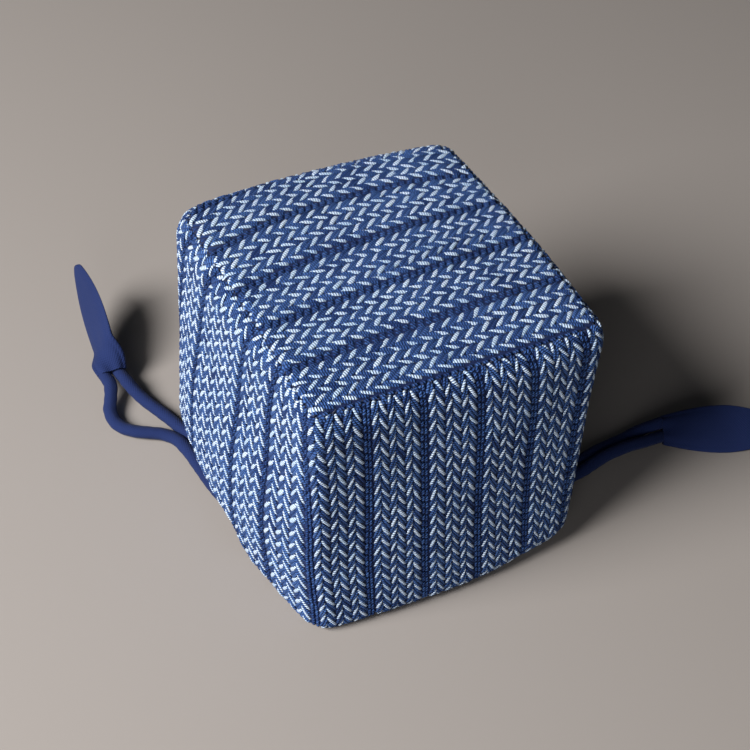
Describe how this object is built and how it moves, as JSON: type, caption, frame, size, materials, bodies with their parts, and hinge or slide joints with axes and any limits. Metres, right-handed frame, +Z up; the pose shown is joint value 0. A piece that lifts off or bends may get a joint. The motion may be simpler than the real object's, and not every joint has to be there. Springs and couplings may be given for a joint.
{
  "type": "teaware storage bag",
  "caption": "Small padded cube-shaped drawstring bag for a teacup, in blue and off-white herringbone weave, standing on its drawn-in mouth, with leaf-shaped cloth pulls.",
  "frame": {"origin": "middle of the bag's outline on the surface that it stands on", "axes": "+Z up through the base panel, which is on top; -Y towards the front wall; the left drawstring leaves on the -X side and the right one on the +X side"},
  "size_m": [0.1882, 0.1496, 0.0798],
  "materials": {
    "woven_cloth": "matt yarn-dyed weave in indigo and off-white, padded",
    "plain_cloth": "matt plain navy cotton"
  },
  "bodies": {
    "root": {"base_panel": "woven_cloth", "side_strip": "woven_cloth", "left_drawstring_outer": "plain_cloth", "left_drawstring_inner": "plain_cloth", "right_drawstring_outer": "plain_cloth", "right_drawstring_inner": "plain_cloth", "left_leaf_pull": "plain_cloth", "right_leaf_pull": "plain_cloth"}
  },
  "joints": []
}
